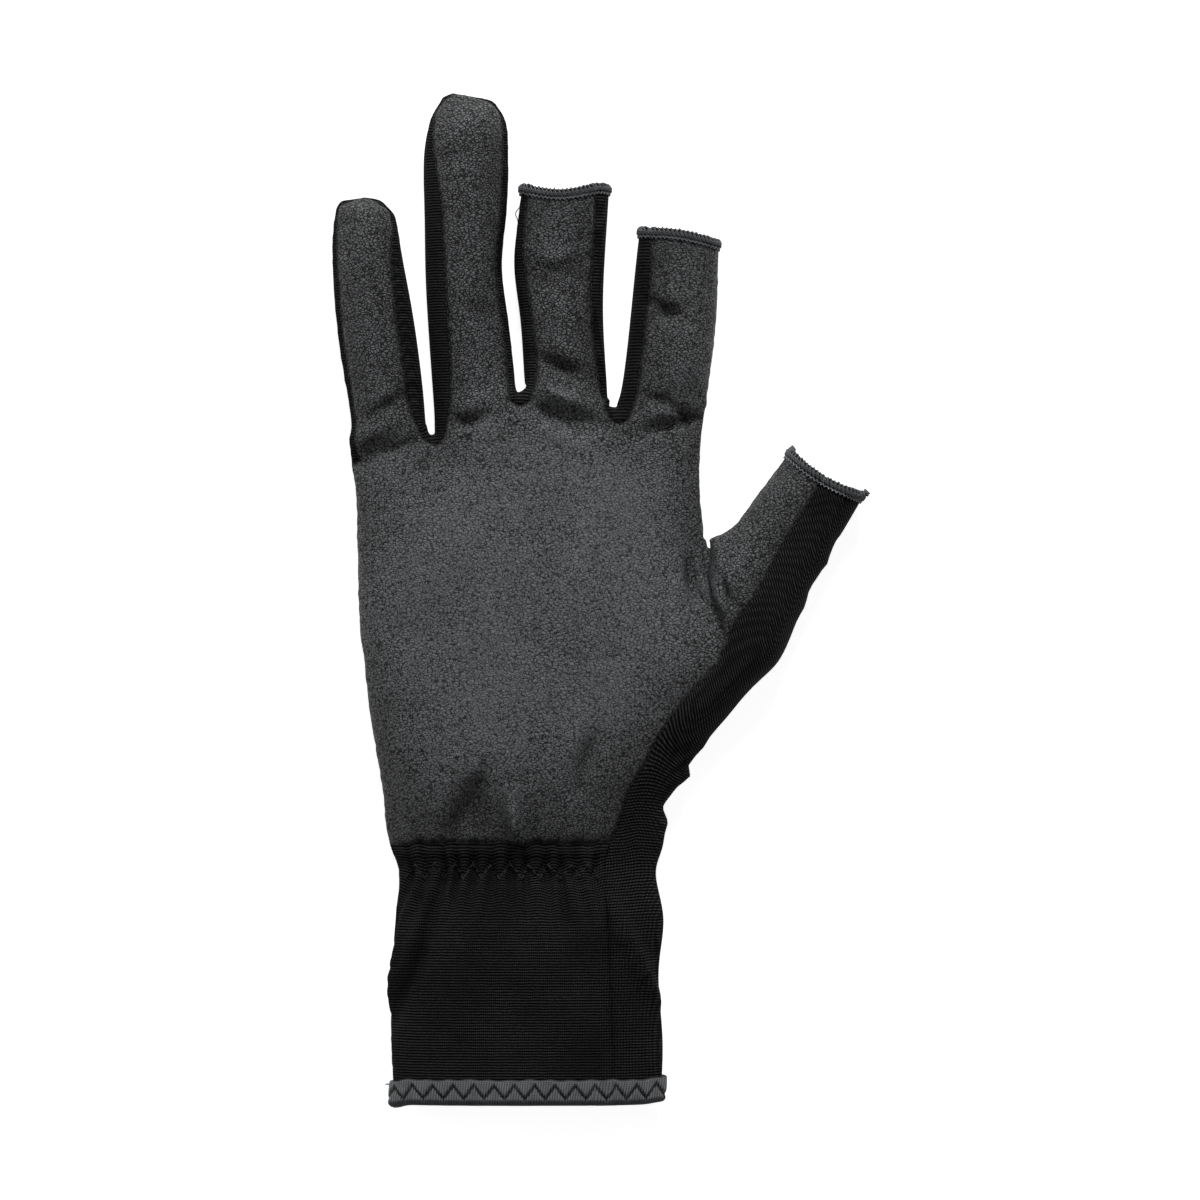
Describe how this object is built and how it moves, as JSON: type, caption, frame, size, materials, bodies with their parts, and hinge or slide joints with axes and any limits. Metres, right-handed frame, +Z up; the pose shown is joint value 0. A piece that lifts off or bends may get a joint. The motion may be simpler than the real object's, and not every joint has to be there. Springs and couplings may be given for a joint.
{
  "type": "sun protection glove",
  "caption": "Right-hand sun glove with a leather palm and a knit back; thumb, index and middle fingers are cut open, the cuff is gathered and bound.",
  "frame": {"origin": "middle of the outline seen from above, on the surface that the glove lies on", "axes": "+Y from the hem towards the fingertips, +Z up out of the palm, +X towards the thumb"},
  "size_m": [0.1336, 0.2526, 0.0161],
  "materials": {
    "palm_leather": "charcoal synthetic leather with a fine pebble grain and a soft sheen",
    "black_knit": "matt black stretch knit with fine courses",
    "grey_tape": "grey woven tape, folded over the hem",
    "grey_thread": "grey overlock thread"
  },
  "bodies": {
    "root": {"palm_panel": "palm_leather", "back_panel": "black_knit", "cuff_panel": "black_knit", "fourchette_little_ring": "black_knit", "fourchette_ring_middle": "black_knit", "fourchette_middle_index": "black_knit", "cuff_binding": "grey_tape", "middle_edging": "grey_thread", "index_edging": "grey_thread", "thumb_edging": "grey_thread"}
  },
  "joints": []
}
